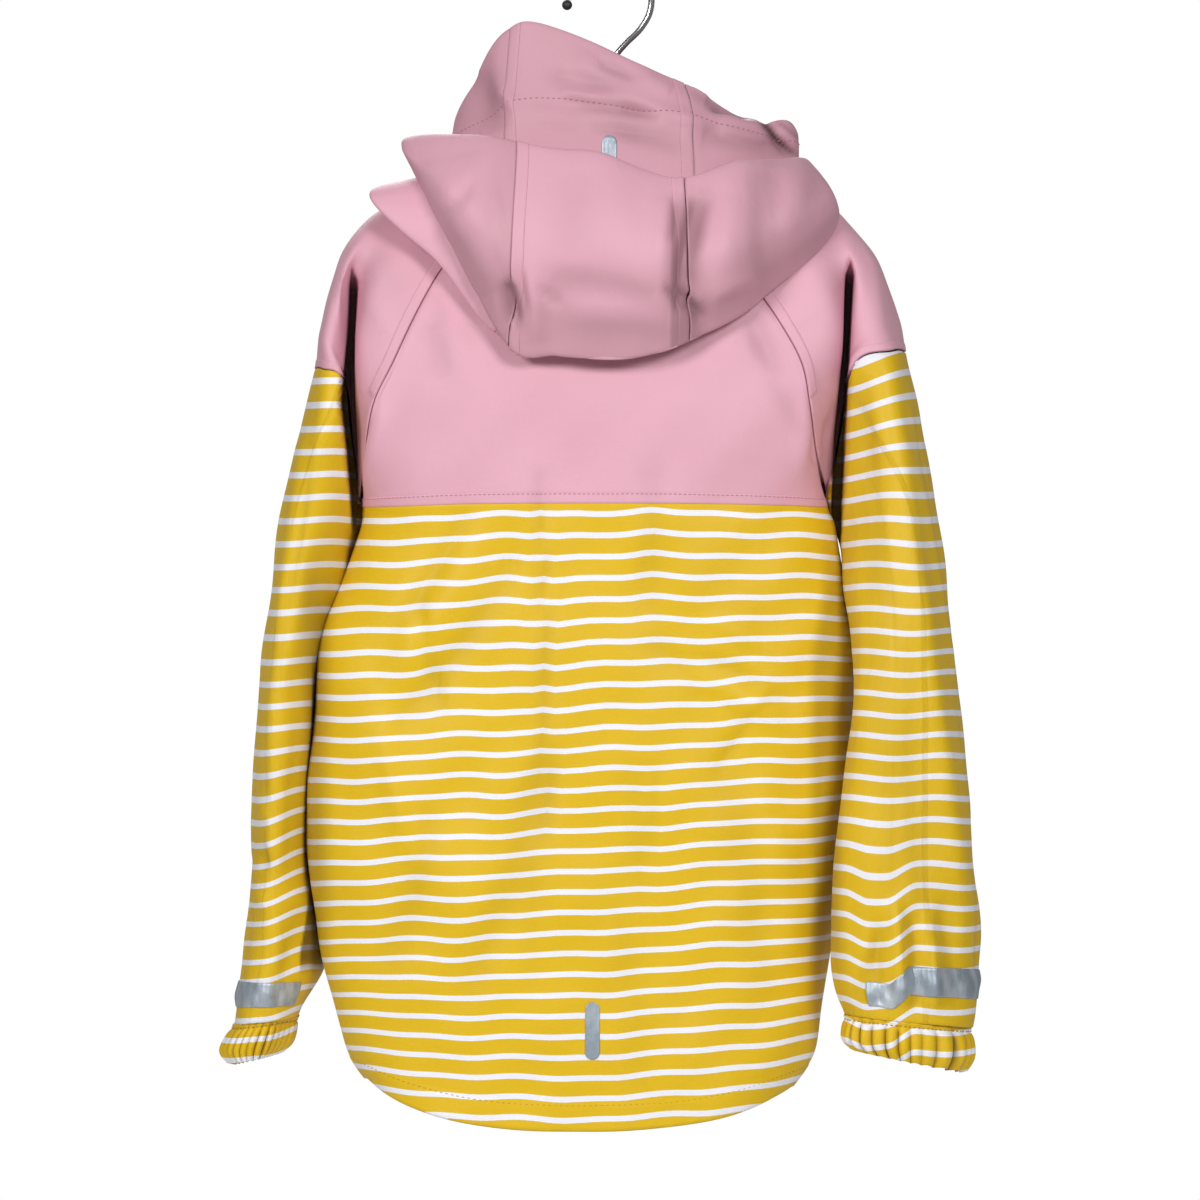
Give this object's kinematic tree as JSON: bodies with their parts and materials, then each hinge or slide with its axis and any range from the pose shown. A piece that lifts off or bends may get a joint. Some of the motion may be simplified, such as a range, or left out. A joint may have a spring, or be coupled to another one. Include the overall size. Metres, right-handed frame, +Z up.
{
  "type": "child's hooded raincoat on a hanger",
  "caption": "Child's hooded raincoat with pink yoke, striped body and gathered cuffs, hanging on a wire-hook hanger.",
  "frame": {"origin": "inner top of the hook's crook, where a rail holds the hanger", "axes": "+Z up, the coat's back towards +Y and its front towards -Y, the wearer's left towards +X"},
  "size_m": [0.4719, 0.1859, 0.7319],
  "materials": {
    "pink_cloth": "matt coated cloth",
    "striped_cloth": "matt coated cloth, mustard with white stripes",
    "reflective": "grey reflective film",
    "stud": "pink press stud",
    "chrome_wire": "bright chrome",
    "black_cap": "matt black",
    "hanger_body": "smooth off-white"
  },
  "bodies": {
    "root": {"back_yoke": "pink_cloth", "front_left_yoke": "pink_cloth", "front_right_yoke": "pink_cloth", "sleeve_left_head": "pink_cloth", "sleeve_right_head": "pink_cloth", "hood_left": "pink_cloth", "hood_centre": "pink_cloth", "hood_right": "pink_cloth", "placket_yoke": "pink_cloth", "back_lower": "striped_cloth", "front_left_lower": "striped_cloth", "front_right_lower": "striped_cloth", "sleeve_left_lower": "striped_cloth", "sleeve_right_lower": "striped_cloth", "cuff_left": "striped_cloth", "cuff_right": "striped_cloth", "placket_lower": "striped_cloth", "reflector_back": "reflective", "reflector_hood": "reflective", "reflector_sleeve_left": "reflective", "reflector_sleeve_right": "reflective", "press_stud_1": "stud", "press_stud_2": "stud", "press_stud_3": "stud", "press_stud_4": "stud", "press_stud_5": "stud", "hanger_hook": "chrome_wire", "hook_tip": "black_cap", "hanger_arms": "hanger_body"}
  },
  "joints": []
}
